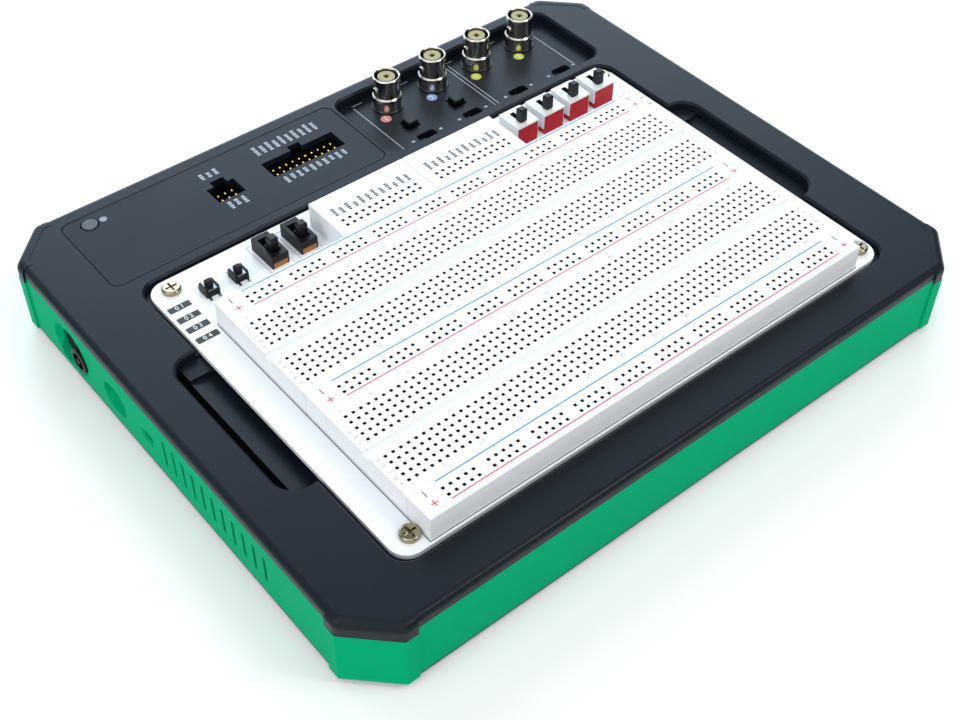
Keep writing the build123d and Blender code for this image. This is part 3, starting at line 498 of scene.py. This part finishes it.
lines, boxes, box_digits = bmesh.new(), bmesh.new(), bmesh.new()
# A thin dark line round the foot of the breadboards
frame_line(lines, *field_box, field_radius, field_width, board_top)
for x in slide_switch_x:
    frame_line(lines, x - switch_frame_half, x + switch_frame_half, *switch_frame_y,
               switch_frame_radius, switch_frame_width, board_top)
for number, y in enumerate(box_tops):
    prism(boxes, loop_outline(*box_x, y - box_height, y, box_radius, box_corner_count),
          board_top - PRINT_SUNK, board_top + PRINT_LAYER)
    letters(box_digits, f"0 {number + 1}", box_number_x, y - box_height / 2,
            board_top + PRINT_LAYER + LETTER_HALF_DEPTH, box_number_size)
for x in short_mark_x:
    mark(lines, x, x + short_mark_length, *short_mark_y, board_top)
for y in side_mark_y:
    mark(lines, *side_mark_x, y - side_mark_half, y + side_mark_half, board_top)
piece("board_box_numbers", box_digits, ink["pale"], "canvas")
piece("board_lines", lines, ink["mid"], "canvas")
piece("board_label_boxes", boxes, ink["dark"], "canvas")

# Print on the panel: pale label columns behind and in front of the two headers
digital_first, digital_columns = -29.58, 10
digital_back, digital_front = (81.2, 86.4), (63.4, 67.1)
digital_shorter = (0.0, 0.7, 0.2, 0.9)
supply_first, supply_columns = -50.74, 3
supply_back, supply_front = (81.7, 85.2), (63.6, 67.6)
supply_shorter = (0.0, 0.6)
panel_dash_width, panel_dash_step = 1.3, 1.05

bars = bmesh.new()
for first, count, back, front, shorter in (
        (digital_first, digital_columns, digital_back, digital_front, digital_shorter),
        (supply_first, supply_columns, supply_back, supply_front, supply_shorter)):
    for i in range(count):
        x = first + pitch * i
        short = shorter[i % len(shorter)]
        dashes(bars, x, back[0], back[1] - short, panel_dash_width, panel_dash_step, film_top)
        dashes(bars, x, front[0] + short, front[1], panel_dash_width, panel_dash_step, film_top)
piece("panel_label_bars", bars, ink["grey"], "case")

# Print on the floor of the coaxial pocket: guide lines, marks beside the slides, numbered discs
guide_half = 0.14
long_guides = ((12.5, 58.0, 87.0), (52.6, 58.0, 87.0), (54.2, 58.0, 87.0), (90.7, 58.6, 88.0))
cross_guides = ((12.5, 17.0), (29.0, 37.0), (49.0, 52.6), (54.2, 57.0), (69.0, 77.0), (88.5, 90.7))
cross_guide_y = 88.2
selector_x, selector_y = (23.4, 43.4, 64.2, 84.3), 59.3
selector_mark, selector_mark_half = 5.9, (0.6, 0.4)
discs = (("orange", 17.9, "1"), ("sky", 37.9, "2"), ("lime", 58.0, "1"), ("lime", 78.0, "2"))
disc_y, disc_radius, disc_number_size = 75.3, 1.9, 2.9

guides = bmesh.new()
for x, y0, y1 in long_guides:
    mark(guides, x - guide_half, x + guide_half, y0, y1, pocket_floor)
for x0, x1 in cross_guides:
    mark(guides, x0, x1, cross_guide_y - guide_half, cross_guide_y + guide_half, pocket_floor)
for x in selector_x:
    for way in (-1, 1):
        middle = x + way * selector_mark
        half_x, half_y = selector_mark_half
        mark(guides, middle - half_x, middle + half_x, selector_y - half_y, selector_y + half_y,
             pocket_floor)
piece("pocket_guides", guides, ink["grey"], "case")
digits = bmesh.new()
for name, x, number in discs:
    disc = bmesh.new()
    prism(disc, circle(x, disc_y, disc_radius), pocket_floor - PRINT_SUNK, pocket_floor + PRINT_LAYER)
    piece(f"channel_disc_{name}_{number}", disc, ink[name], "case")
    letters(digits, number, x, disc_y, pocket_floor + PRINT_LAYER + LETTER_HALF_DEPTH, disc_number_size)
piece("channel_numbers", digits, ink["pale"], "case")

# Print on the white blocks: a column of dark marks for every contact column, of varied length
block_label_y = 32.2
block_label_lengths = (4.1, 3.2, 3.8, 2.6, 4.1, 3.5)
block_dash_width, block_dash_step = 1.2, 0.9

labels = bmesh.new()
for first in block_first:
    for column in range(block_columns):
        length = block_label_lengths[column % len(block_label_lengths)]
        dashes(labels, first + column * pitch, block_label_y, block_label_y + length,
               block_dash_width, block_dash_step, deck)
piece("block_label_bars", labels, ink["dark"], "canvas")

# Studio floor: pale paper that also gives off a little light where a camera, a gloss or a clear
# surface sees it
FLOOR_HALF = 6.0
PAPER = (0.9, 0.9, 0.9, 1)
PAPER_GLOW = 0.1

floor_mesh = bpy.data.meshes.new("floor")
floor_bm = bmesh.new()
bmesh.ops.create_grid(floor_bm, x_segments=8, y_segments=8, size=FLOOR_HALF)
floor_bm.to_mesh(floor_mesh)
floor_bm.free()
floor = bpy.data.objects.new("floor", floor_mesh)
bpy.context.scene.collection.objects.link(floor)
paper = bpy.data.materials.new("floor_paper")
paper.use_nodes = True
tree = paper.node_tree
tree.nodes.clear()
out = tree.nodes.new("ShaderNodeOutputMaterial")
matt = tree.nodes.new("ShaderNodeBsdfDiffuse")
matt.inputs["Color"].default_value = PAPER
glow = tree.nodes.new("ShaderNodeEmission")
path = tree.nodes.new("ShaderNodeLightPath")
share = tree.nodes.new("ShaderNodeMath")
share.operation = "MULTIPLY"
share.inputs[1].default_value = PAPER_GLOW
seen = tree.nodes.new("ShaderNodeMath")
seen.operation = "MAXIMUM"
mirrored = tree.nodes.new("ShaderNodeMath")
mirrored.operation = "MAXIMUM"
tree.links.new(path.outputs["Is Glossy Ray"], mirrored.inputs[0])
tree.links.new(path.outputs["Is Transmission Ray"], mirrored.inputs[1])
tree.links.new(path.outputs["Is Camera Ray"], seen.inputs[0])
tree.links.new(mirrored.outputs[0], seen.inputs[1])
tree.links.new(seen.outputs[0], share.inputs[0])
tree.links.new(share.outputs[0], glow.inputs["Strength"])
both = tree.nodes.new("ShaderNodeAddShader")
tree.links.new(matt.outputs[0], both.inputs[0])
tree.links.new(glow.outputs[0], both.inputs[1])
tree.links.new(both.outputs[0], out.inputs["Surface"])
floor_mesh.materials.append(paper)

# Studio sky: an even light and four soft panels. A panel has the direction it lies in, the cosines
# of the angles at which it starts and is full, its colour and its strength
SKY = (0.93, 0.97, 1.0, 1)
SKY_STRENGTH = 0.15
COOL = (0.70, 0.85, 1.0, 1)
WARM = (1.0, 0.99, 0.97, 1)
NEUTRAL = (1.0, 1.0, 1.0, 1)
PANELS = (
    ((0.55, 0.74, 0.38), 0.85, 0.95, COOL, 3.6),
    ((0.0, 0.92, 0.40), 0.80, 0.90, COOL, 1.2),
    ((0.0, 0.0, 1.0), 0.86, 0.97, WARM, 0.9),
    ((-0.75, -0.45, 0.45), 0.3, 0.85, NEUTRAL, 0.95),
)

world = bpy.data.worlds.new("studio")
bpy.context.scene.world = world
world.use_nodes = True
tree = world.node_tree
tree.nodes.clear()
out = tree.nodes.new("ShaderNodeOutputWorld")
direction = tree.nodes.new("ShaderNodeTexCoord")
total = tree.nodes.new("ShaderNodeBackground")
total.inputs["Color"].default_value = SKY
total.inputs["Strength"].default_value = SKY_STRENGTH
for aim, start, full, color, strength in PANELS:
    length = math.sqrt(sum(v * v for v in aim))
    toward = tree.nodes.new("ShaderNodeVectorMath")
    toward.operation = "DOT_PRODUCT"
    toward.inputs[1].default_value = [v / length for v in aim]
    tree.links.new(direction.outputs["Generated"], toward.inputs[0])
    fade = tree.nodes.new("ShaderNodeMapRange")
    fade.interpolation_type = "SMOOTHSTEP"
    fade.inputs["From Min"].default_value = start
    fade.inputs["From Max"].default_value = full
    fade.inputs["To Max"].default_value = strength
    tree.links.new(toward.outputs["Value"], fade.inputs["Value"])
    glow = tree.nodes.new("ShaderNodeBackground")
    glow.inputs["Color"].default_value = color
    tree.links.new(fade.outputs["Result"], glow.inputs["Strength"])
    both = tree.nodes.new("ShaderNodeAddShader")
    tree.links.new(total.outputs[0], both.inputs[0])
    tree.links.new(glow.outputs[0], both.inputs[1])
    total = both
tree.links.new(total.outputs[0], out.inputs["Surface"])

# Lamps: place, size and power of each; both aim at the object
LAMP_AIM = (0, 0, 0.02)
LAMPS = (("key", (0.7, -0.9, 1.3), 0.7, 8.0), ("fill", (-1.2, -0.2, 0.9), 0.8, 3.0))
for name, place, size, power in LAMPS:
    light = bpy.data.lights.new(name, "AREA")
    light.shape = "DISK"
    light.size = size
    light.energy = power
    holder = bpy.data.objects.new(name, light)
    holder.location = place
    holder.rotation_euler = (Vector(LAMP_AIM) - Vector(place)).to_track_quat("-Z", "Y").to_euler()
    bpy.context.scene.collection.objects.link(holder)
